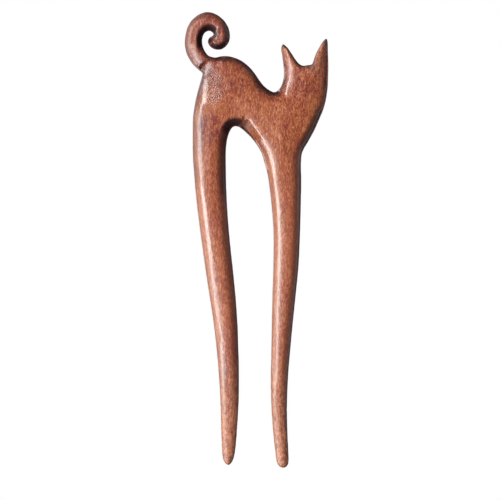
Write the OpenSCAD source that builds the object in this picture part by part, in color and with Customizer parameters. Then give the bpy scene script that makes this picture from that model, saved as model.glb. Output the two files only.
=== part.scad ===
/* [Size] */
// Overall length, from the tip of the front prong to the top of the curled tail
fork_len = 165; // [120:1:200]
// Thickness of the wood at the cat's body
body_t = 9; // [6:0.25:11]
// Thickness of the wood at the cat's head
head_t = 8.5; // [5:0.25:11]

/* [Prongs and ears] */
// Thickness of each prong at its tip
prong_tip_t = 3.6; // [2:0.1:6]
// Length over which each prong grows to the full thickness
prong_taper = 125; // [60:1:130]
// Thickness of each ear at its tip
ear_tip_t = 1.4; // [0.8:0.1:4]
// Length over which each ear grows to the thickness of the head
ear_taper = 14; // [8:0.5:18]

/* [Tail] */
// Thickness of the tail where it is fullest
tail_t = 7.4; // [4:0.1:8.5]
// Sides of the oval beads that the tail is hulled from
bead_sides = 18; // [12:2:20]

/* [Rounding] */
// Radius to which the edges of the body and head are rounded over
edge_r = 4.4; // [2:0.1:5]
// Share of half a section's width that the rounding takes where the wood is narrow
round_share = 0.9; // [0.6:0.01:0.92]

/* [Smoothness] */
// Stretches of the outline from one section to the next
steps = 3; // [2:1:3]
// Bands of the rounded edge, from the underside to the top
bands = 8; // [4:2:8]

/* [Hidden] */

// Length at which the tables below are drawn. They are scaled to fork_len.
drawn_len = 165;
to_size = fork_len / drawn_len;
// Largest rounding that the tightest outward turn of the body's outline leaves room for
tightest_turn = 4.4;
// Share of the half width of an ear's last section that its point is rounded to
ear_point = 0.3;

// Each row of a limb is one section across the wood, in drawn millimetres:
// [x and y on its first edge, x and y on its second edge].
// +Y runs from the prongs' tips to the ears, and the cat faces +X.

// Hind prong and rump, from the tip to the hollow of the back.
// The first edge is the cat's outer side, and the second faces the gap.
rear = [
    [-12.1, -79.6,  -8.6, -79.6],
    [-12.6, -75.5,  -7.7, -75.5],
    [-12.9, -68.5,  -7.1, -68.5],
    [-13.2, -58.0,  -6.5, -58.0],
    [-13.9, -47.0,  -6.4, -47.0],
    [-14.9, -36.5,  -6.7, -36.5],
    [-16.1, -27.0,  -7.1, -27.0],
    [-18.1, -14.0,  -8.2, -14.0],
    [-20.1,   0.0,  -9.7,   0.0],
    [-21.9,  14.5, -10.8,  14.5],
    [-23.0,  28.0, -11.1,  26.5],
    [-23.2,  37.0, -11.0,  34.0],
    [-23.1,  44.5, -10.1,  38.5],
    [-22.1,  51.0,  -8.5,  41.0],
    [-20.4,  57.3,  -6.8,  41.0],
    [-19.4,  60.6,  -5.4,  40.2],
    [-18.0,  63.9,  -4.3,  39.3],
    [-15.1,  66.0,  -3.3,  38.3],
    [-10.6,  66.6,  -2.3,  37.3],
    [ -5.6,  65.0,  -0.9,  35.6],
    [ -1.6,  61.5,   0.2,  34.1],
    [  2.5,  55.9,   1.1,  32.6]
];

// Front prong, from the chest to the tip. The first edge faces the gap.
front = [
    [2.3,  29.5, 20.8,   39.7],
    [2.8,  27.8, 18.6,   35.6],
    [3.3,  26.0, 16.6,   32.0],
    [3.9,  23.4, 16.05,  28.0],
    [4.6,  18.5, 16.1,   21.0],
    [5.3,  12.0, 16.0,   13.0],
    [6.0,   2.0, 15.7,    2.5],
    [5.9, -10.0, 15.1,  -10.0],
    [5.55, -22.0, 13.9, -22.0],
    [5.3, -36.0, 12.5,  -36.0],
    [5.05, -50.0, 11.35, -50.0],
    [5.3, -61.0, 10.95, -61.0],
    [6.1, -71.5, 11.25, -71.5],
    [6.7, -76.5, 11.5,  -76.5],
    [7.4, -80.9, 11.45, -80.9]
];

// Neck and head, from the hollow of the back to the ears. The first edge is the nape.
head = [
    [7.4, 54.1, 24.0, 47.0],
    [8.5, 55.3, 25.1, 51.0]
];

// Rear ear, from the head to its tip. The first edge is the nape.
rear_ear = [
    [9.8, 60.2, 15.7, 63.5],
    [9.65, 62.8, 14.3, 64.9],
    [9.35, 65.3, 13.0, 66.9],
    [9.1, 67.3, 11.9, 68.6],
    [8.75, 69.1, 10.9, 69.9]
];

// Front ear, from the head to its tip. The second edge is the face.
front_ear = [
    [18.6, 63.4, 25.85, 59.5],
    [19.9, 63.6, 25.9,  62.1],
    [20.55, 65.2, 25.9, 63.9],
    [21.3, 67.4, 25.85, 66.3],
    [22.6, 69.8, 25.75, 69.0],
    [23.7, 71.6, 25.7, 71.2]
];

// Points where limbs meet
hollow = [6.0, 53.6];
crotch = [1.9, 31.0];
chest = [22.4, 43.2];
nape = [9.4, 57.6];
face = [25.75, 55.8];
notch = [17.0, 63.1];

// Tips of the prongs and ears
hind_toe = [-10.3, -81.45];
front_toe = [9.6, -82.5];
rear_ear_tip = [9.4, 70.9];
front_ear_tip = [25.2, 73.0];

// Tail, from inside the rump to its curled end: [x, y, width, share of tail_t]
tail_rows = [
    [-17.7, 61.8, 4.4, 0.66],
    [-19.8, 64.0, 5.4, 0.76],
    [-21.65, 66.8, 6.3, 0.92],
    [-22.75, 70.0, 6.4, 1.00],
    [-22.75, 73.4, 6.3, 1.00],
    [-21.35, 77.0, 6.55, 0.98],
    [-18.1, 79.05, 6.9, 0.96],
    [-15.0, 78.2, 6.3, 0.94],
    [-13.0, 75.9, 5.9, 0.92],
    [-12.65, 73.1, 5.9, 0.88],
    [-13.8, 71.6, 5.6, 0.84],
    [-15.3, 71.7, 4.6, 0.76],
    [-16.3, 72.1, 2.5, 0.56]
];

// Web that fairs the tail into the line of the back: [x, y, width, share of tail_t]
web_rows = [
    [-21.4, 69.2, 4.0, 0.76],
    [-20.2, 66.7, 4.2, 0.76],
    [-18.3, 65.0, 3.8, 0.76],
    [-15.6, 64.2, 3.8, 0.76]
];

// Midpoint and half width of a row
function middle(row) = [row[0] + row[2], row[1] + row[3]] / 2;
function half_width(row) = norm([row[0] - row[2], row[1] - row[3]]) / 2;

// Rounding of an edge where the wood has this half width
full_rounding = min(edge_r / to_size, tightest_turn);
function rounding(half) = min(full_rounding, round_share * half);

// Thickness at a point of a limb that grows from tip_t at its tip to root_t
function taper(p, tip, tip_t, root_t, reach) =
    tip_t + (root_t - tip_t) * sin(90 * min(1, norm(p - tip) * to_size / reach));

// Outline points are [x, y, thickness, rounding, lift of the underside].
// These are a limb's two edges, its tip, and a point where limbs meet.
function edge(rows, side, tip, tip_t, root_t, reach, level) = [
    for (row = rows) let (t = taper(middle(row), tip, tip_t, root_t, reach)) [
        row[2 * side],
        row[2 * side + 1],
        t,
        rounding(half_width(row)),
        level ? 0 : (root_t - t) / 2
    ]
];
function tip_point(tip, tip_t, half, lift) = [tip[0], tip[1], tip_t, rounding(half), lift];
function joint_point(p, t) = [p[0], p[1], t, full_rounding, 0];
function reversed(v) = [for (i = [len(v) - 1 : -1 : 0]) v[i]];
function last(v) = v[len(v) - 1];

// The prongs keep a level underside, and the ears taper on both faces
function rear_edge(side) = edge(rear, side, hind_toe, prong_tip_t, body_t, prong_taper, true);
function front_edge(side) = edge(front, side, front_toe, prong_tip_t, body_t, prong_taper, true);
function head_edge(side) = edge(head, side, nape, head_t, head_t, ear_taper, true);
function ear_edge(rows, side, tip) = edge(rows, side, tip, ear_tip_t, head_t, ear_taper, false);
function toe(tip, last_row) = tip_point(tip, prong_tip_t, half_width(last_row), 0);
function ear_tip(tip, last_row) =
    tip_point(tip, ear_tip_t, ear_point * half_width(last_row), (head_t - ear_tip_t) / 2);

// The whole outline, anticlockwise from the hind toe
outline = concat(
    [toe(hind_toe, rear[0])],
    rear_edge(1),
    [joint_point(crotch, body_t)],
    front_edge(0),
    [toe(front_toe, last(front))],
    reversed(front_edge(1)),
    [joint_point(chest, body_t)],
    head_edge(1),
    [joint_point(face, head_t)],
    ear_edge(front_ear, 1, front_ear_tip),
    [ear_tip(front_ear_tip, last(front_ear))],
    reversed(ear_edge(front_ear, 0, front_ear_tip)),
    [joint_point(notch, head_t)],
    ear_edge(rear_ear, 1, rear_ear_tip),
    [ear_tip(rear_ear_tip, last(rear_ear))],
    reversed(ear_edge(rear_ear, 0, rear_ear_tip)),
    [joint_point(nape, head_t)],
    reversed(head_edge(0)),
    [joint_point(hollow, body_t)],
    reversed(rear_edge(0))
);

// Places of the joint points and tips in the outline
crotch_at = len(rear) + 1;
front_toe_at = crotch_at + len(front) + 1;
chest_at = front_toe_at + len(front) + 1;
face_at = chest_at + len(head) + 1;
front_ear_at = face_at + len(front_ear) + 1;
notch_at = front_ear_at + len(front_ear) + 1;
rear_ear_at = notch_at + len(rear_ear) + 1;
nape_at = rear_ear_at + len(rear_ear) + 1;
hollow_at = nape_at + len(head) + 1;

// Each strip of the flat faces runs up one edge and down the other: [up from, down from, sections]
strips = [
    [0, len(outline), len(rear) + 1],
    [front_toe_at, front_toe_at, len(front) + 1],
    [chest_at, hollow_at, len(head) + 1],
    [front_ear_at, front_ear_at, len(front_ear) + 1],
    [rear_ear_at, rear_ear_at, len(rear_ear) + 1]
];

// Triangles that fill the flat faces where three strips meet
fillers = [
    [crotch_at, chest_at, hollow_at],
    [face_at, notch_at, nape_at]
];

// Curve from b to c that passes smoothly on from a and on to d
function curve_at(a, b, c, d, u) =
    ((2 * b) + (c - a) * u + (2 * a - 5 * b + 4 * c - d) * pow(u, 2)
        + (3 * b - a - 3 * c + d) * pow(u, 3)) / 2;

// Smooth closed loop and smooth open line through the points of v
function smooth_loop(v, n) = let (c = len(v)) [
    for (i = [0 : c - 1], s = [0 : n - 1])
        curve_at(v[(i + c - 1) % c], v[i], v[(i + 1) % c], v[(i + 2) % c], s / n)
];
function smooth_line(v, n) = let (c = len(v) - 1) [
    for (i = [0 : n * c]) let (j = min(floor(i / n), c - 1))
        curve_at(v[max(j - 1, 0)], v[j], v[j + 1], v[min(j + 2, c)], i / n - j)
];

// Unit vector that points out of an anticlockwise loop at its point i
function outward(v, i) =
    let (c = len(v), d = v[(i + 1) % c] - v[(i + c - 1) % c])
    [d[1], -d[0]] / norm([d[0], d[1]]);

// Plate with a level underside and rounded edges. Ring k holds the outline, drawn in
// along its normals as the edge turns over.
module rounded_plate(loop) {
    count = len(loop);
    normals = [for (i = [0 : count - 1]) outward(loop, i)];
    points = [
        for (k = [0 : bands]) let (turn = 180 * k / bands - 90)
            for (i = [0 : count - 1]) let (inset = loop[i][3] * (1 - cos(turn)))
                [
                    (loop[i][0] - normals[i][0] * inset) * to_size,
                    (loop[i][1] - normals[i][1] * inset) * to_size,
                    max(loop[i][4], 0) + min(loop[i][2], max(body_t, head_t)) * (1 + sin(turn)) / 2
                ]
    ];
    edge_faces = [
        for (k = [0 : bands - 1], i = [0 : count - 1])
            let (j = (i + 1) % count, low = k * count, high = low + count)
                each [[low + i, high + i, high + j], [low + i, high + j, low + j]]
    ];
    under_faces = [
        for (s = strips, i = [0 : s[2] * steps - 1])
            let (up = s[0] * steps + i, down = s[1] * steps - i + count)
                each [
                    [up % count, (up + 1) % count, (down - 1) % count],
                    if ((up - down) % count != 0) [up % count, (down - 1) % count, down % count]
                ],
        for (f = fillers) f * steps
    ];
    top = bands * count;
    top_faces = [for (f = under_faces) [f[2] + top, f[1] + top, f[0] + top]];
    polyhedron(points, concat(edge_faces, under_faces, top_faces), convexity = 12);
}

// One oval bead of a strand, halfway through the wood: [x, y, width, share of tail_t]
module bead(row) {
    translate([row[0] * to_size, row[1] * to_size, body_t / 2])
        scale([row[2] * to_size, row[2] * to_size, row[3] * min(tail_t, body_t)])
            sphere(d = 1, $fn = bead_sides);
}

// Round strand hulled from bead to bead
module strand(rows) {
    line = smooth_line(rows, steps);
    for (i = [0 : len(line) - 2])
        hull() {
            bead(line[i]);
            bead(line[i + 1]);
        }
}

// The cat's body, head and ears, with the two prongs that are its legs
module cat() {
    rounded_plate(smooth_loop(outline, steps));
}

// The curled tail, which grows out of the rump
module tail() {
    strand(tail_rows);
    strand(web_rows);
}

// The hair fork, carved from one piece of wood
module fork() {
    color("sienna") {
        cat();
        tail();
    }
}

fork();
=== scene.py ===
"""Looks of a cat-shaped hair fork carved from one piece of wood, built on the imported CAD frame."""

import math
from collections import namedtuple

import bmesh
import bpy
import numpy as np
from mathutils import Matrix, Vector, kdtree, noise


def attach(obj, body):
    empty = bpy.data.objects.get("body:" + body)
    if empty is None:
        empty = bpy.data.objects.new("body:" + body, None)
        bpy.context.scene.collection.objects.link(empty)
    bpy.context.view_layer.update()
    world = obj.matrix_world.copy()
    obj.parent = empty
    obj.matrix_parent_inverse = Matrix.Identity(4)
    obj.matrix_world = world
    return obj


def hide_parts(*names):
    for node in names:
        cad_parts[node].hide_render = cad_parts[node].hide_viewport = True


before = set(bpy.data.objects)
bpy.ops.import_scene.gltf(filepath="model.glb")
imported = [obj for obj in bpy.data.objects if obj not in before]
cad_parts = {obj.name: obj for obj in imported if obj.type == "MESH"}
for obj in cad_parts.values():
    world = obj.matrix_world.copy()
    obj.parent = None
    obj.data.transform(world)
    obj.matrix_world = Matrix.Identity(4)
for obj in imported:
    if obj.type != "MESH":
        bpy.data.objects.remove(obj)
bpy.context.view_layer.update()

MM = 0.001

# The mesh: how near points are welded, voxels that make about 193,000 triangles, and the passes that fair
# the solid's facets, fair the carving, and even out what is read from the flat top. A fairing pass pulls
# each point towards its neighbours and then pushes it back, so that the wood doesn't shrink.
WELD = 0.001 * MM
VOXEL = 0.365 * MM
FAIRING_PASSES = 65
LAST_PASSES = 11
SPREAD_PASSES = 19
PULL_AND_PUSH = (0.60, -0.62)

# How far up a normal points, from 0 to 1: less than this on the outline, and more than this on the flat top
OUTLINE_UP = 0.2
FLAT_UP = 0.995

# From here on lengths are in millimetres, a place is x and y in the frame as seen from above, and a slope
# is the fall for each millimetre outwards. A pair of numbers that no comment explains is where something
# begins to change and where it has changed.

# The whole surface: the usual edge's radius, how far in from the outline the carving is whole, a slight
# crown on the flat top, the upper body's lean down towards the cat's face, and the slow waves of the knife
EDGE_RADIUS = 4.4
CARVED_FROM = 0.35
CROWN = 0.45
CROWN_INSET = (3.5, 11.0)
LEAN_SLOPE = 0.06
LEAN_X = 9.0
LEAN_WIDTH = 14.0
LEAN_Y = (20.0, 40.0)
KNIFE_DEPTH = 0.07
KNIFE_SPAN = 7.0

# How the edge is carved around places of the outline. Each has the place, its reach (wholly as far as the
# first number, not at all past the second), the side it faces (-1 left, 1 right, 0 both), and the rounded
# edge's radius and fullness: 2 is a circle's arc, less is planed flatter, more is squarer.
Edge = namedtuple("Edge", "place reach side radius fullness")
EDGES = (
    Edge((-17.0, 22.0), (12, 22), 1, 5.8, 2.0),
    Edge((-24.5, 73.5), (4, 8), -1, 2.1, 2.0),
    Edge((-22.9, 46.0), (3, 8), 0, 4.6, 2.2),
    Edge((-20.2, 57.5), (5, 8), 0, 4.4, 2.6),
    Edge((-19.3, 61.5), (2.5, 5), -1, 3.0, 3.5),
    Edge((-1.5, 59.5), (8, 12), 0, 5.4, 1.8),
    Edge((9.7, 60.0), (5, 9), -1, 3.7, 1.7),
    Edge((7.5, 54.0), (3, 6), 0, 5.0, 2.0),
    Edge((9.3, 66.5), (2, 5), -1, 3.7, 2.0),
    Edge((12.8, 66.5), (3, 5), 1, 1.4, 2.0),
    Edge((17.3, 62.4), (2.5, 6), 0, 1.3, 1.8),
    Edge((21.6, 68.0), (3, 6), -1, 0.6, 2.0),
    Edge((25.6, 56.8), (7, 12), 1, 9.5, 2.3),
    Edge((19.0, 36.0), (6, 12), 1, 6.5, 2.2),
    Edge((3.0, 35.0), (8, 12), -1, 5.0, 1.7),
    Edge((-3.0, 43.0), (4, 9), -1, 5.0, 2.0),
    Edge((-10.0, -68.0), (14, 26), -1, 2.3, 2.1),
    Edge((8.5, -68.0), (14, 26), -1, 2.3, 2.1),
)

# How far an edge turns to its side to be rounded so, and the least distance that a turn is worked out from
FACES_SIDE = (-0.3, 0.3)
LEAST_INSET = 0.1

# Steep walls that are cut into the edge and painted dark as shade: place and reach as above, and the wall's
# width from above
Wall = namedtuple("Wall", "place reach width")
WALLS = (
    Wall((-9.0, 42.3), (2.6, 4.6), 2.8),
    Wall((-20.0, 73.0), (2.6, 4.4), 1.8),
    Wall((-17.6, 76.4), (2.4, 3.2), 2.2),
    Wall((-14.2, 75.2), (1.6, 2.6), 1.2),
    Wall((-13.5, 69.5), (2.6, 4.4), 1.7),
)

# Facets planed beside the edge: the facet's middle line, half its width, how far it fades past its ends,
# its slope, the slope of the flank below it, which lies to the right of the line's own direction, and
# whether it is on the tail's side of the crease (1) or the rump's (-1)
Facet = namedtuple("Facet", "line half fade slope flank side")
RUMP_FACET = Facet(((-18.3, 59.5), (-18.9, 50.5)), 0.8, 3.0, 0.55, 0.95, -1)
FACETS = (
    RUMP_FACET,
    Facet(((-17.2, 61.6), (-17.6, 60.0)), 1.1, 3.5, 0.50, 0.95, -1),
    Facet(((-19.6, 49.5), (-20.9, 39.5)), 0.4, 2.5, 0.55, 0.95, -1),
    Facet(((-20.9, 38.0), (-19.7, 22.0)), 0.2, 4.0, 0.55, 0.95, -1),
    Facet(((-19.7, 20.0), (-15.6, -14.0)), 0.75, 6.0, 0.55, 0.95, -1),
    Facet(((-15.4, -16.0), (-12.6, -34.0)), 0.5, 6.0, 0.47, 0.95, -1),
    Facet(((8.5, -8.0), (7.7, -30.0)), 0.55, 6.0, 0.46, 0.95, -1),
    Facet(((7.7, -32.0), (7.4, -46.0)), 0.3, 6.0, 0.46, 0.95, -1),
    Facet(((10.2, 69.0), (11.4, 62.0)), 0.6, 2.0, 0.50, 1.15, -1),
    Facet(((11.4, 62.0), (11.8, 56.5)), 0.8, 1.5, 0.48, 1.15, -1),
    Facet(((11.8, 56.2), (11.0, 53.0)), 0.5, 2.0, 0.50, 1.05, -1),
    Facet(((-23.6, 70.0), (-20.2, 64.0)), 0.7, 2.0, 0.37, 0.80, 1),
    Facet(((-4.6, 46.4), (1.6, 38.2)), 0.55, 2.5, 0.52, 1.30, -1),
)

# How far below a facet's upper edge its flank ends, and how far from the crease a facet is whole
FLANK_END = (3.7, 5.0)
CREASE_SIDE = (0.1, 0.8)

# The crease where the tail leaves the rump. The rump dips down to it, and the tail's base is as high as the
# body's flat top.
CREASE = ((-19.9, 63.3), (-17.2, 65.0))
CREASE_DEPTH = 0.25
CREASE_WIDTH = 0.25
CREASE_FADE = 0.8
CREASE_INSET = (0.2, 1.2)
RUMP_DIP = 0.3
RUMP_DIP_LENGTH = 6.0
RUMP_DIP_FADE = 9.0
TAIL_BASE = ((-19.5, 65.0), (3, 9))

# The ears, whose edges are no darker than the wood beside them, and their sharp tips, which are faired by
# this share less
EARS = ((17.3, 67.0), (9, 12))
EAR_TIPS = (((9.4, 70.6), (0.8, 3.0)), ((25.2, 73.2), (0.8, 3.0)))
EAR_TIPS_SPARED = 0.8

# Painted shade that darkens the edge where little light falls, and darker ear tips: place and reach as
# above, how far in from the outline, and how much. The dark of these and of the walls fades over these
# shares of their widths.
ShadeStain = namedtuple("ShadeStain", "place reach width amount")
SHADE_STAINS = (
    ShadeStain((-20.0, 56.5), (4, 8), 3.2, 0.45),
    ShadeStain((-23.0, 40.0), (7, 13), 4.5, 0.32),
    ShadeStain((2.5, 54.5), (3, 7), 1.8, 0.9),
    ShadeStain((-3.5, 62.0), (4, 8), 1.5, 0.8),
    ShadeStain((-13.0, 66.6), (3, 7), 0.6, 0.9),
    ShadeStain((-8.8, 41.8), (3, 8), 3.2, 0.8),
    ShadeStain((-11.0, 28.0), (8, 16), 2.6, 0.65),
    ShadeStain((-2.0, 40.5), (3, 8), 0.5, 0.9),
    ShadeStain((17.0, 63.0), (3, 6), 0.3, 0.8),
    ShadeStain((9.4, 70.9), (0.6, 2.2), 3.0, 0.8),
    ShadeStain((9.2, 60.0), (5, 9), 1.1, 0.35),
    ShadeStain((25.2, 73.0), (0.8, 3.0), 3.0, 0.9),
    ShadeStain((25.7, 57.0), (7, 12), 2.2, 0.5),
    ShadeStain((-3.2, 41.0), (2, 5), 0.7, 0.95),
    ShadeStain((20.5, 39.7), (6, 11), 2.3, 0.75),
    ShadeStain((-10.2, 72.2), (5, 8), 2.2, 0.7),
)
SHADE_STAIN_FADE = (0.4, 1.3)
WALL_SHADE_FADE = (0.75, 1.05)

# Places as above with an amount: how dull the finish is there (1 is matt), where it is stippled with tiny
# worm-like marks or rubbed smooth, and how much redder the wood is. The stippling ends at the rump's facet.
Spot = namedtuple("Spot", "place reach amount")
DULL = (
    Spot((-19.0, 73.0), (9, 13), 0.3),
    Spot((-24.0, 73.0), (4, 8), 0.45),
    Spot((-10.7, 71.0), (1, 2.5), 0.7),
    Spot((-18.0, 58.0), (4, 9), 0.3),
    Spot((-21.3, 43.0), (2.5, 5.5), 0.5),
    Spot((-20.3, 32.0), (4, 10), 0.4),
    Spot((-3.9, 40.4), (1.5, 3), 0.8),
    Spot((17.3, 63.5), (2, 4), 1.0),
    Spot((24.5, 68.0), (6, 9), 1.0),
    Spot((25.8, 60.0), (3, 6), 1.0),
    Spot((10.0, 67.5), (2, 4), 0.6),
    Spot((12.4, 60.5), (2.5, 5), 0.40),
)
STIPPLE = (
    Spot((-15.9, 58.6), (2.2, 4.4), 1.0),
    Spot((-16.2, 52.6), (2.2, 5.0), 1.0),
)
STIPPLE_FROM_FACET = (0.4, 1.1)
SMOOTH = (
    Spot((10.5, 57.0), (5, 9), 0.8),
)
REDDER = (
    Spot((16.0, 58.0), (6, 10), 0.12),
    Spot((-19.0, 74.0), (9, 14), 0.18),
    Spot((-12.0, 73.0), (3, 6), 0.15),
    Spot((-12.0, 60.0), (5, 12), 0.12),
    Spot((4.0, 54.5), (3, 7), 0.12),
    Spot((7.8, 55.0), (2, 4), 0.15),
    Spot((-16.0, 40.0), (3, 8), 0.20),
    Spot((-10.0, 20.0), (3, 8), 0.12),
    Spot((10.0, 2.0), (10, 22), -0.08),
    Spot((8.8, -62.0), (5, 12), 0.12),
    Spot((-11.5, -40.0), (6, 14), 0.08),
    Spot((-12.5, -52.0), (4, 12), 0.10),
)

# Bands along the outline, by how far in they are whole and gone: the edge's painted shade, which the legs'
# lit left sides lack and which is wider and stronger on their right sides, the thin rim of painted shade on
# the unlit sides, and the painted light on the lit left flank
EDGE_SHADE_BAND = (0.4, 2.8)
RIGHT_SHADE_BAND = (1.8, 3.4)
RIGHT_SHADE_STRENGTH = 1.3
SHADED_RIM_BAND = (0.1, 0.6)
LIT_BAND_FROM = (0.2, 0.7)
LIT_BAND_TO = (1.6, 2.3)

# How far to the left or right an edge faces, from 0 to 1, to count as a left side, a right side or a flank,
# and the y up to which the legs' looks reach. The painted light on the foreleg's flank, right of the x,
# reaches less far up.
FACES_LEFT = (0.2, 0.7)
FACES_RIGHT = (0.3, 0.8)
FACES_FLANK = (0.5, 0.9)
LEGS_Y = (44.0, 50.0)
LIT_LEGS_Y = (44.0, 52.0)
LIT_FORELEG_Y = (28.0, 38.0)
FORELEG_X = -10.0

# The wood's colours, from the near black of painted shade and dark to pale, with painted shade and painted
# light among them
SHADE_BLACK_WOOD = (0.010, 0.003, 0.005, 1)
DARK_WOOD = (0.060, 0.011, 0.008, 1)
EDGE_SHADE_WOOD = (0.090, 0.022, 0.010, 1)
MAROON_WOOD = (0.120, 0.018, 0.015, 1)
RED_WOOD = (0.180, 0.033, 0.014, 1)
ORANGE_WOOD = (0.235, 0.058, 0.019, 1)
DUSTY_WOOD = (0.250, 0.080, 0.090, 1)
LIT_PALE_WOOD = (0.330, 0.170, 0.105, 1)
PALE_WOOD = (0.400, 0.150, 0.072, 1)

# The wood's patterns: how tightly each is drawn along x, y and z, which is long along the grain where y is
# small, and its noise's scale to a millimetre, detail, roughness and distortion
Pattern = namedtuple("Pattern", "drawn scale detail roughness distortion")
BROAD = Pattern((1, 0.5, 1), 0.12, 2.0, 0.5, 0.0)
MOTTLE = Pattern((1, 0.55, 1), 0.50, 3.0, 0.6, 0.4)
STREAKS = Pattern((1, 0.06, 1), 1.3, 2.0, 0.6, 0.0)
FLECKS = Pattern((1, 0.30, 1), 2.4, 2.0, 0.6, 1.0)
WORMS = Pattern((1, 0.8, 1), 2.6, 0.0, 0.5, 1.0)
BLOTCHES = Pattern((1, 0.5, 1), 1.3, 3.0, 0.7, 0.5)

# The wood's tone: the share that each pattern has in it, and the tones between which the colour changes
TONE = ((BROAD, 0.35), (MOTTLE, 0.50), (STREAKS, 0.35))
MAROON_TO_RED = (0.39, 0.51)
RED_TO_ORANGE = (0.51, 0.68)

# What a pattern's value, or the place along y in millimetres, is carried over to: from the first two
# numbers to the last two, or to 0 and 1 where there are no more
DARK_FLECKS = (0.46, 0.29, 0.0, 0.85)
PALE_FLECKS = (0.48, 0.69)
FLECKS_ALONG = (-20.0, 20.0, 1.15, 0.85)
WORM_HOLLOW_SHADE = (0.50, 0.36)
WORM_TOP_LIGHT = (0.52, 0.66, 0.0, 0.5)
DUST_ALONG = (34.0, 4.0, 0.0, 0.10)
PRONG_ENDS = (-42.0, -64.0)
PALE_BLOTCHES = (0.46, 0.60, 0.10, 0.65)
MAROON_BLOTCHES = (0.45, 0.36, 0.0, 0.7)
DARK_SPECKS = (0.40, 0.34, 0.0, 0.8)
DULL_ALONG = (-8.0, -24.0, 0.0, 0.2)
GRAIN_ALONG = (10.0, -20.0, 1.0, 1.9)

# How strongly the bands' painted light and shade and the painted shade of walls, crease and edges are
# coloured, and how dull the prongs' ends are, where 1 is matt
EDGE_SHADE_SHARE = 0.45
LIT_FLANK_SHARE = 0.25
SHADED_RIM_SHARE = 0.45
SHADE_STAIN_SHARE = 0.9
DULL_ENDS = 0.65

# The oiled finish, from its shine to matt, and its relief, where a worm-like mark is so many times as deep
# as a fleck. The render's noise filter draws a faint line where the roughness crosses about 0.274, so the
# shine starts above that.
SHINE_TO_MATT = (0.0, 1.0, 0.28, 0.65)
OIL_IOR = 1.5
WORM_RELIEF = 8.0
RELIEF_STRENGTH = 0.6
RELIEF_DEPTH = 0.08 * MM

# The white room and the table, in metres, and the dim glow from all round
ROOM_SIZE = 20.0
TABLE_SIZE = 4.0
FLOOR_Z = -0.02 * MM
TABLE_COLOUR = (0.35, 0.35, 0.35, 1)
TABLE_ROUGHNESS = 0.9
ROOM_GLOW = (0.85, 0.75, 1, 1)
ROOM_GLOW_STRENGTH = 0.15

# Soft lights that face the fork: degrees to the left of the vertical, distance, width and height in metres,
# radiance, and the kind of ray that doesn't see it. One lights the wood, and the others are what its gloss
# mirrors: a strip for the stripes, a tent for the sheen, and low glows for the steep sides. Past 90 degrees
# a light is below the table, which the gloss doesn't see.
Light = namedtuple("Light", "name to_left away width height radiance hidden_from")
LIGHTS = (
    Light("soft_panel", 34, 1.3, 1.8, 1.2, 8.0, "glossy"),
    Light("bright_strip", 58, 0.9, 1.5, 0.34, 22.0, "diffuse"),
    Light("glowing_tent", 36.5, 1.0, 2.2, 0.95, 1.0, "diffuse"),
    Light("low_glow_left", 100, 1.0, 2.2, 1.1, 0.72, "diffuse"),
    Light("rim_glow_left", 152, 1.0, 2.2, 0.70, 1.2, "diffuse"),
    Light("low_glow_right", -106, 1.0, 2.2, 0.20, 1.8, "diffuse"),
)
LIGHT_COLOUR = (0.92, 1.0, 0.99)

# The view: straight down, with the whole fork in a square picture
VIEW_CENTRE = Vector((-2.44, -3.52, 4.5)) * MM
VIEW_WIDTH = 180.7 * MM
LENS_MM = 200.0
SENSOR_MM = 36.0
CLIP_START = 0.01
CLIP_END = 50


def mesh_arrays(mesh):
    """A mesh's points and edges as arrays."""
    points = np.empty(len(mesh.vertices) * 3)
    mesh.vertices.foreach_get("co", points)
    edges = np.empty(len(mesh.edges) * 2, int)
    mesh.edges.foreach_get("vertices", edges)
    return points.reshape(-1, 3), edges.reshape(-1, 2)


def set_points(mesh, points):
    """Moves a mesh's points to new places."""
    mesh.vertices.foreach_set("co", points.ravel())
    mesh.update()


def point_normals(mesh):
    """Unit normals at a mesh's points."""
    normals = np.empty(len(mesh.vertices) * 3)
    mesh.vertices.foreach_get("normal", normals)
    return normals.reshape(-1, 3)


def rising(low, high, x):
    """0 below low, 1 above high, and smooth between them."""
    t = np.clip((x - low) / (high - low), 0, 1)
    return t * t * (3 - 2 * t)


def falling(low, high, x):
    """1 below low, 0 above high, and smooth between them."""
    return 1 - rising(low, high, x)


def copy_of_node(node, name):
    """A new object with its own welded copy of a CAD node's mesh."""
    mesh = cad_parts[node].data.copy()
    mesh.materials.clear()
    welder = bmesh.new()
    welder.from_mesh(mesh)
    bmesh.ops.remove_doubles(welder, verts=welder.verts, dist=WELD)
    welder.to_mesh(mesh)
    welder.free()
    piece = bpy.data.objects.new(name, mesh)
    bpy.context.scene.collection.objects.link(piece)
    return piece


def remesh(piece, voxel):
    """Gives the piece an even mesh of small quads."""
    modifier = piece.modifiers.new("even_quads", "REMESH")
    modifier.mode = "VOXEL"
    modifier.voxel_size = voxel
    modifier.adaptivity = 0.0
    evaluated = piece.evaluated_get(bpy.context.evaluated_depsgraph_get())
    mesh = bpy.data.meshes.new_from_object(evaluated)
    piece.modifiers.clear()
    piece.data = mesh


def neighbour_mean(values, edges, counts):
    """The mean of each point's neighbours, for each column of values."""
    mean = np.empty_like(values)
    for axis in range(values.shape[1]):
        column = values[:, axis]
        mean[:, axis] = np.bincount(edges[:, 0], column[edges[:, 1]], len(values))
        mean[:, axis] += np.bincount(edges[:, 1], column[edges[:, 0]], len(values))
    return mean / counts[:, None]


def fair(mesh, share, passes):
    """Fairs the facets away without shrinking the wood. Share, from 0 to 1, says how much at each point."""
    points, edges = mesh_arrays(mesh)
    counts = np.bincount(edges.ravel(), minlength=len(points))
    for _ in range(passes):
        for pull in PULL_AND_PUSH:
            points = points + pull * share[:, None] * (neighbour_mean(points, edges, counts) - points)
    set_points(mesh, points)


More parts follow.
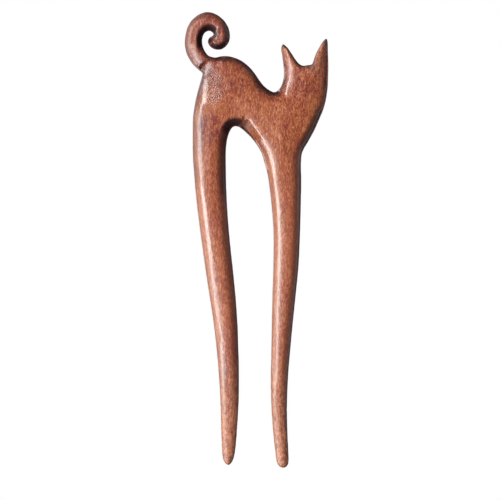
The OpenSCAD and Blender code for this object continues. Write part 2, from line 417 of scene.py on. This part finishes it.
def spread(values, edges, passes):
    """Evens values out over the mesh."""
    counts = np.bincount(edges.ravel(), minlength=len(values))
    column = values[:, None]
    for _ in range(passes):
        column = neighbour_mean(column, edges, counts)
    return column[:, 0]


def plan_tree(points):
    """A search tree of points seen from above."""
    tree = kdtree.KDTree(len(points))
    for number, (x, y, _) in enumerate(points):
        tree.insert((x, y, 0), number)
    tree.balance()
    return tree


def from_outline(points, edges, normals):
    """How far in from the outline each point lies, seen from above, and the outline's nearest place."""
    steep = np.abs(normals[:, 2]) < OUTLINE_UP
    along = edges[steep[edges].all(axis=1)]
    outline = np.concatenate([points[steep], points[along].mean(axis=1)])
    tree = plan_tree(outline)
    found = [tree.find((x, y, 0)) for x, y, _ in points]
    return np.array([f[2] for f in found]) / MM, outline[[f[1] for f in found]]


def nearest_flat(points, normals):
    """For each point, the number of the nearest point of the fork's flat top, seen from above."""
    flat = np.flatnonzero(normals[:, 2] > FLAT_UP)
    tree = plan_tree(points[flat])
    return flat[[tree.find((x, y, 0))[1] for x, y, _ in points]]


def near(points, place, reach):
    """1 within the first reach of a place seen from above, and 0 past the second."""
    away = np.hypot(points[:, 0] / MM - place[0], points[:, 1] / MM - place[1])
    return falling(reach[0], reach[1], away)


def patches(points, spots):
    """The spots' amounts, each around its own place, added up."""
    return np.sum([spot.amount * near(points, spot.place, spot.reach) for spot in spots], axis=0)


def from_line(points, line):
    """How far each point lies along a line and to the left of its direction, and the line's length."""
    (x0, y0), (x1, y1) = line
    length = math.hypot(x1 - x0, y1 - y0)
    x = points[:, 0] / MM - x0
    y = points[:, 1] / MM - y0
    along = (x * (x1 - x0) + y * (y1 - y0)) / length
    left = (y * (x1 - x0) - x * (y1 - y0)) / length
    return along, left, length


def left_of(points, line):
    """How far each point lies to the left of a line's own direction, seen from above."""
    return from_line(points, line)[1]


def beside(points, line, past_ends):
    """1 beside the line, and 0 beyond this far past its ends."""
    along, _, length = from_line(points, line)
    return rising(-past_ends, 0, along) * falling(length, length + past_ends, along)


def rounding(inset, radius, fullness):
    """Height of a carved edge at this distance in from it, as a share of its full height."""
    return np.power(1 - np.power(1 - np.minimum(inset / radius, 1), fullness), 1 / fullness)


def edge_sizes(outline, facing):
    """Radius and fullness of the nearest edge's rounding. Facing is from -1, left, to 1, right."""
    radius = np.full(len(outline), EDGE_RADIUS)
    fullness = np.full(len(outline), 2.0)
    for edge in EDGES:
        share = near(outline, edge.place, edge.reach)
        if edge.side:
            share *= rising(*FACES_SIDE, facing * edge.side)
        radius += share * (edge.radius - radius)
        fullness += share * (edge.fullness - fullness)
    return radius, fullness


def wall_width(outline):
    """Width of the nearest steep wall."""
    away = [np.hypot(*(outline[:, :2] / MM - wall.place).T) - wall.reach[1] for wall in WALLS]
    return np.array([wall.width for wall in WALLS])[np.argmin(away, axis=0)]


def on_wall(outline):
    """1 where the nearest outline has a steep wall, and 0 elsewhere."""
    return np.max([near(outline, wall.place, wall.reach) for wall in WALLS], axis=0)


def knife_marks(points):
    """Slow waves that a hand-carved surface has, from -1 to 1."""
    return np.array([noise.noise(Vector(p) / (KNIFE_SPAN * MM), noise_basis="PERLIN_NEW") for p in points])


class Carving:
    """The fork's mesh while it is carved, and where each point lies from the outline and the crease."""

    def __init__(self, mesh):
        """Reads the solid's edges, how wide they are and its flat top, and fairs its facets away."""
        self.mesh = mesh
        points, edges = mesh_arrays(mesh)
        self.normals = point_normals(mesh)
        self.inset, self.outline = from_outline(points, edges, self.normals)
        flat = nearest_flat(points, self.normals)
        self.middle = spread(points[flat, 2] / MM / 2, edges, SPREAD_PASSES)
        self.edge_width = spread(np.minimum(self.inset[flat], EDGE_RADIUS), edges, SPREAD_PASSES)
        sharp = np.max([near(points, *tip) for tip in EAR_TIPS], axis=0)
        fair(mesh, 1 - EAR_TIPS_SPARED * sharp, FAIRING_PASSES)
        self.points, _ = mesh_arrays(mesh)
        self.upper = self.points[:, 2] / MM > self.middle
        self.middle += near(self.points, *TAIL_BASE) * (np.max(self.middle) - self.middle)
        self.facing = (self.outline - self.points)[:, 0] / MM / np.maximum(self.inset, LEAST_INSET)
        self.past_crease = left_of(self.points, CREASE)
        across = np.exp(-np.square(self.past_crease / CREASE_WIDTH))
        self.crease = beside(self.points, CREASE, CREASE_FADE) * across
        self.wall = on_wall(self.outline)
        self.wall_width = wall_width(self.outline)

    def rounded(self):
        """Height of the rounded edges, as a share of the upper half's height."""
        radius, fullness = edge_sizes(self.outline, self.facing)
        wide = np.minimum(radius, self.edge_width * radius / EDGE_RADIUS)
        radius = np.where(radius > EDGE_RADIUS, wide, np.minimum(radius, self.edge_width))
        return rounding(self.inset, radius, fullness)

    def planed(self, share):
        """The share with the facets planed into it."""
        for facet in FACETS:
            down = facet.half - left_of(self.points, facet.line)
            width = 2 * facet.half
            fall = facet.slope * np.clip(down, 0, width) + facet.flank * np.maximum(down - width, 0)
            cut = beside(self.points, facet.line, facet.fade) * falling(*FLANK_END, down)
            cut *= rising(*CREASE_SIDE, facet.side * self.past_crease)
            share = share + cut * (np.minimum(share, 1 - fall / self.middle) - share)
        return share

    def with_walls(self, share):
        """The share with the steep walls cut into it."""
        return share + self.wall * (np.minimum(self.inset / self.wall_width, 1) - share)

    def rump_dip(self):
        """How far the rump dips down to the crease."""
        nearness = 1 - np.clip(-self.past_crease / RUMP_DIP_LENGTH, 0, 1)
        on_rump = self.past_crease < 0
        return RUMP_DIP * np.square(nearness) * on_rump * beside(self.points, CREASE, RUMP_DIP_FADE)

    def heights(self):
        """Height of the carved upper side."""
        share = self.with_walls(self.planed(self.rounded()))
        x = self.points[:, 0] / MM
        y = self.points[:, 1] / MM
        crown = CROWN * rising(*CROWN_INSET, self.inset)
        lean = LEAN_SLOPE * np.clip(x - LEAN_X, 0, LEAN_WIDTH) * rising(*LEAN_Y, y)
        groove = CREASE_DEPTH * self.crease * rising(*CREASE_INSET, self.inset)
        return self.middle * (1 + share) + crown - lean - self.rump_dip() * share - groove

    def shape(self):
        """Brings the upper side to its heights, with the knife's marks, and fairs it lightly."""
        rise = self.heights() * MM - self.points[:, 2]
        self.points[:, 2] += rising(0.0, CARVED_FROM, self.inset) * self.upper * rise
        marks = self.upper * KNIFE_DEPTH * MM * knife_marks(self.points)
        self.points += self.normals * marks[:, None]
        set_points(self.mesh, self.points)
        fair(self.mesh, np.ones(len(self.points)), LAST_PASSES)

    def shade_stain(self):
        """Painted shade, dark on the steep walls and on edges where little light falls, and the darker ear
        tips.
        """
        shade_stains = [self.wall * falling(*WALL_SHADE_FADE, self.inset / self.wall_width) * self.upper]
        for spot in SHADE_STAINS:
            fade = falling(*SHADE_STAIN_FADE, self.inset / spot.width)
            shade_stains.append(spot.amount * near(self.outline, spot.place, spot.reach) * fade)
        return np.max(shade_stains, axis=0)

    def edge_shade(self, unlit):
        """Painted shade along the edge: none on the lit sides and the ears, and most on the legs' right
        sides, away from the light.
        """
        band = unlit * (1 - near(self.points, *EARS)) * falling(*EDGE_SHADE_BAND, self.inset)
        right = rising(*FACES_RIGHT, self.facing) * falling(*LEGS_Y, self.points[:, 1] / MM)
        return np.maximum(band, RIGHT_SHADE_STRENGTH * right * falling(*RIGHT_SHADE_BAND, self.inset))

    def lit_flank(self):
        """Painted light on the left flanks, which face the light: the legs', the foreleg's from further
        down.
        """
        band = rising(*LIT_BAND_FROM, self.inset) * falling(*LIT_BAND_TO, self.inset)
        x = self.points[:, 0] / MM
        y = self.points[:, 1] / MM
        legs = falling(*LIT_LEGS_Y, y) * (1 - rising(*LIT_FORELEG_Y, y) * (x > FORELEG_X))
        return band * rising(*FACES_FLANK, -self.facing) * legs

    def stipple(self):
        """How stippled the rump is, to the right of its facet, whose line runs down."""
        beyond_facet = rising(*STIPPLE_FROM_FACET, left_of(self.points, RUMP_FACET.line))
        return np.minimum(patches(self.points, STIPPLE), 1) * beyond_facet * self.upper

    def marks(self):
        """What the material reads at each point, by name."""
        unlit = 1 - rising(*FACES_LEFT, -self.facing) * falling(*LEGS_Y, self.points[:, 1] / MM)
        return {
            # The first four marks are painted shade, dark where little light falls, with the darker ear
            # tips among the first; the fifth is painted light on the lit left flanks.
            "shade_stain": self.shade_stain(),
            "crease": self.crease * self.upper,
            "edge": self.edge_shade(unlit),
            "shaded_rim": unlit * falling(*SHADED_RIM_BAND, self.inset),
            "painted_flank_light": self.lit_flank(),
            "stipple": self.stipple(),
            "smooth": patches(self.points, SMOOTH),
            "dull": patches(self.points, DULL),
            "redder": patches(self.points, REDDER),
        }


def carved_wood():
    """The wood's own surface: the CAD solid with its facets faired away, and carved by hand."""
    piece = copy_of_node("fork", "carved_wood")
    remesh(piece, VOXEL)
    carving = Carving(piece.data)
    carving.shape()
    for name, values in carving.marks().items():
        attribute = piece.data.attributes.new(name, "FLOAT", "POINT")
        attribute.data.foreach_set("value", values.astype(np.float32))
    for polygon in piece.data.polygons:
        polygon.use_smooth = True
    return piece


class Shading:
    """Builds one material's node tree, a node at a time."""

    def __init__(self, name):
        self.material = bpy.data.materials.new(name)
        self.material.use_nodes = True
        self.tree = self.material.node_tree
        self.shader = self.tree.nodes["Principled BSDF"]

    def feed(self, socket, value):
        """Links a socket to an input, or sets the input's own value."""
        if isinstance(value, bpy.types.NodeSocket):
            self.tree.links.new(value, socket)
        else:
            socket.default_value = value

    def add(self, kind, inputs, **settings):
        """Adds a node with these settings, and its inputs by name or number."""
        node = self.tree.nodes.new(kind)
        for key, value in settings.items():
            setattr(node, key, value)
        for key, value in inputs.items():
            self.feed(node.inputs[key], value)
        return node

    def set(self, **inputs):
        """Feeds the shader's own inputs, with spaces in their names written as _."""
        for key, value in inputs.items():
            self.feed(self.shader.inputs[key.replace("_", " ")], value)

    def place(self, factors):
        """The point's place in the frame, in millimetres times these factors along x, y and z."""
        coordinates = self.add("ShaderNodeTexCoord", {}).outputs["Object"]
        to_mm = [f / MM for f in factors]
        return self.add("ShaderNodeVectorMath", {0: coordinates, 1: to_mm}, operation="MULTIPLY").outputs[0]

    def along_y(self):
        """The point's place along the prongs, in millimetres."""
        return self.add("ShaderNodeSeparateXYZ", {0: self.place((1, 1, 1))}).outputs["Y"]

    def pattern(self, pattern):
        """Soft noise from 0 to 1."""
        inputs = {"Vector": self.place(pattern.drawn), "Scale": pattern.scale, "Detail": pattern.detail}
        inputs["Roughness"] = pattern.roughness
        inputs["Distortion"] = pattern.distortion
        return self.add("ShaderNodeTexNoise", inputs).outputs[0]

    def remap(self, value, low, high, to_low=0.0, to_high=1.0):
        """Carries low..high over to to_low..to_high, and stops at both ends."""
        inputs = {0: value, 1: low, 2: high, 3: to_low, 4: to_high}
        return self.add("ShaderNodeMapRange", inputs).outputs[0]

    def math(self, operation, a, b):
        """One sum of two numbers."""
        return self.add("ShaderNodeMath", {0: a, 1: b}, operation=operation).outputs[0]

    def product(self, first, *others):
        """Numbers multiplied together."""
        for other in others:
            first = self.math("MULTIPLY", first, other)
        return first

    def mix(self, share, a, b):
        """Colour a turning into colour b."""
        return self.add("ShaderNodeMix", {0: share, 6: a, 7: b}, data_type="RGBA").outputs[2]

    def attribute(self, name):
        """A value that the mesh carries at each point."""
        return self.add("ShaderNodeAttribute", {}, attribute_name=name).outputs["Fac"]


def grain_colour(s, along, flecks):
    """The wood's own colour: slow changes of tone, and fine flecks, which are clearer on the prongs."""
    tone = s.product(s.attribute("redder"), -1.0)
    for pattern, share in TONE:
        tone = s.math("ADD", tone, s.product(s.pattern(pattern), share))
    colour = s.mix(s.remap(tone, *MAROON_TO_RED), MAROON_WOOD, RED_WOOD)
    colour = s.mix(s.remap(tone, *RED_TO_ORANGE), colour, ORANGE_WOOD)
    strength = s.remap(along, *FLECKS_ALONG)
    colour = s.mix(s.product(s.remap(flecks, *DARK_FLECKS), strength), colour, DARK_WOOD)
    return s.mix(s.product(s.remap(flecks, *PALE_FLECKS), strength), colour, PALE_WOOD)


def stipple_light_and_shade(s, colour, worms, stipple):
    """The colour with the stippling's worm-like marks: painted shade in their hollows and painted light on
    the wood between them.
    """
    colour = s.mix(s.product(s.remap(worms, *WORM_HOLLOW_SHADE), stipple), colour, MAROON_WOOD)
    return s.mix(s.product(s.remap(worms, *WORM_TOP_LIGHT), stipple), colour, LIT_PALE_WOOD)


def wear_light_and_shade_colour(s, colour, along, ends, flecks):
    """The colour with dusty legs, painted shade on edges away from the light, painted light on the lit left
    flanks, and rubbed, blotched ends.
    """
    blotches = s.pattern(BLOTCHES)
    dusty = s.product(s.remap(along, *DUST_ALONG), s.math("SUBTRACT", 1.0, ends))
    colour = s.mix(dusty, colour, DUSTY_WOOD)
    # Painted shade along the edges that face away from the light
    colour = s.mix(s.product(s.attribute("edge"), EDGE_SHADE_SHARE), colour, EDGE_SHADE_WOOD)
    # Painted light: the lit left flanks paler
    colour = s.mix(s.product(s.attribute("painted_flank_light"), LIT_FLANK_SHARE), colour, LIT_PALE_WOOD)
    colour = s.mix(s.product(ends, s.remap(blotches, *PALE_BLOTCHES)), colour, PALE_WOOD)
    colour = s.mix(s.product(ends, s.remap(blotches, *MAROON_BLOTCHES)), colour, MAROON_WOOD)
    return s.mix(s.product(ends, s.remap(flecks, *DARK_SPECKS)), colour, DARK_WOOD)


def shade_stained_colour(s, colour):
    """The colour with painted shade: the thin dark rim on the unlit sides, and the dark in the crease, on
    the walls, by edges away from the light, and the darker ear tips.
    """
    # Painted shade: a thin dark rim on the unlit sides
    colour = s.mix(s.product(s.attribute("shaded_rim"), SHADED_RIM_SHARE), colour, DARK_WOOD)
    # Painted shade in the crease, on the steep walls and along edges away from the light, and the darker
    # ear tips
    shade_stain = s.math("MAXIMUM", s.attribute("crease"), s.attribute("shade_stain"))
    return s.mix(s.product(shade_stain, SHADE_STAIN_SHARE), colour, SHADE_BLACK_WOOD)


def finish_roughness(s, along, ends):
    """How rough the oiled finish is: shiny on the body, duller down the prongs and where it is rubbed off.
    """
    legs = s.math("ADD", s.product(ends, DULL_ENDS), s.remap(along, *DULL_ALONG))
    return s.remap(s.math("ADD", legs, s.attribute("dull")), *SHINE_TO_MATT)


def relief(s, along, flecks, worms, stipple):
    """The relief of the stippling and the grain, which is deeper down the prongs and less where rubbed."""
    rough = s.math("SUBTRACT", 1.0, s.attribute("smooth"))
    grain = s.product(flecks, rough, s.remap(along, *GRAIN_ALONG))
    height = s.math("ADD", grain, s.product(worms, stipple, WORM_RELIEF))
    inputs = {"Height": height, "Strength": RELIEF_STRENGTH, "Distance": RELIEF_DEPTH}
    return s.add("ShaderNodeBump", inputs).outputs[0]


def polished_wood():
    """Red-brown hardwood with a fine grain along the prongs, oiled and rubbed to a shine."""
    s = Shading("polished_wood")
    along = s.along_y()
    ends = s.remap(along, *PRONG_ENDS)
    flecks = s.pattern(FLECKS)
    worms = s.pattern(WORMS)
    stipple = s.attribute("stipple")
    colour = grain_colour(s, along, flecks)
    colour = stipple_light_and_shade(s, colour, worms, stipple)
    colour = wear_light_and_shade_colour(s, colour, along, ends, flecks)
    s.set(Base_Color=shade_stained_colour(s, colour), IOR=OIL_IOR)
    s.set(Roughness=finish_roughness(s, along, ends))
    s.set(Normal=relief(s, along, flecks, worms, stipple))
    return s.material


def white_room():
    """A plain white floor and walls that only the camera sees, so that the fork lies on clean white."""
    bpy.ops.mesh.primitive_cube_add(size=ROOM_SIZE, location=(0, 0, ROOM_SIZE / 2 + FLOOR_Z))
    room = bpy.context.object
    room.name = "white_room"
    s = Shading("lit_white")
    s.set(Base_Color=(0, 0, 0, 1), Specular_IOR_Level=0.0)
    s.set(Emission_Color=(1, 1, 1, 1), Emission_Strength=1.0)
    room.data.materials.append(s.material)
    for ray in ("diffuse", "glossy", "transmission", "volume_scatter", "shadow"):
        setattr(room, "visible_" + ray, False)


def table():
    """A plain pale table, which only throws soft light up at the fork: the camera sees the white floor."""
    bpy.ops.mesh.primitive_plane_add(size=TABLE_SIZE, location=(0, 0, FLOOR_Z))
    plane = bpy.context.object
    plane.name = "table"
    s = Shading("pale_table")
    s.set(Base_Color=TABLE_COLOUR, Roughness=TABLE_ROUGHNESS)
    plane.data.materials.append(s.material)
    for ray in ("camera", "glossy", "shadow"):
        setattr(plane, "visible_" + ray, False)


def soft_light(light):
    """A rectangular light that faces the fork."""
    data = bpy.data.lights.new(light.name, "AREA")
    data.shape = "RECTANGLE"
    data.size = light.width
    data.size_y = light.height
    data.energy = light.radiance * math.pi * light.width * light.height
    data.color = LIGHT_COLOUR
    lamp = bpy.data.objects.new(light.name, data)
    angle = math.radians(light.to_left)
    lamp.location = (-math.sin(angle) * light.away, 0, math.cos(angle) * light.away)
    lamp.rotation_euler = (-lamp.location).to_track_quat("-Z", "Y").to_euler()
    setattr(lamp, "visible_" + light.hidden_from, False)
    bpy.context.scene.collection.objects.link(lamp)


def studio():
    """The soft lights, and a dim glow from all round."""
    for light in LIGHTS:
        soft_light(light)
    world = bpy.data.worlds.new("room")
    world.use_nodes = True
    background = world.node_tree.nodes["Background"]
    background.inputs["Color"].default_value = ROOM_GLOW
    background.inputs["Strength"].default_value = ROOM_GLOW_STRENGTH
    bpy.context.scene.world = world


def camera():
    """Looks straight down at the fork through a long lens."""
    data = bpy.data.cameras.new("camera")
    data.lens = LENS_MM
    data.sensor_width = SENSOR_MM
    data.clip_start = CLIP_START
    data.clip_end = CLIP_END
    eye = bpy.data.objects.new("camera", data)
    eye.location = VIEW_CENTRE + Vector((0, 0, VIEW_WIDTH * LENS_MM / SENSOR_MM))
    bpy.context.scene.collection.objects.link(eye)
    bpy.context.scene.camera = eye


piece = carved_wood()
piece.data.materials.append(polished_wood())
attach(piece, "root")
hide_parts("fork")
white_room()
table()
studio()
camera()
bpy.context.scene.view_settings.view_transform = "Standard"
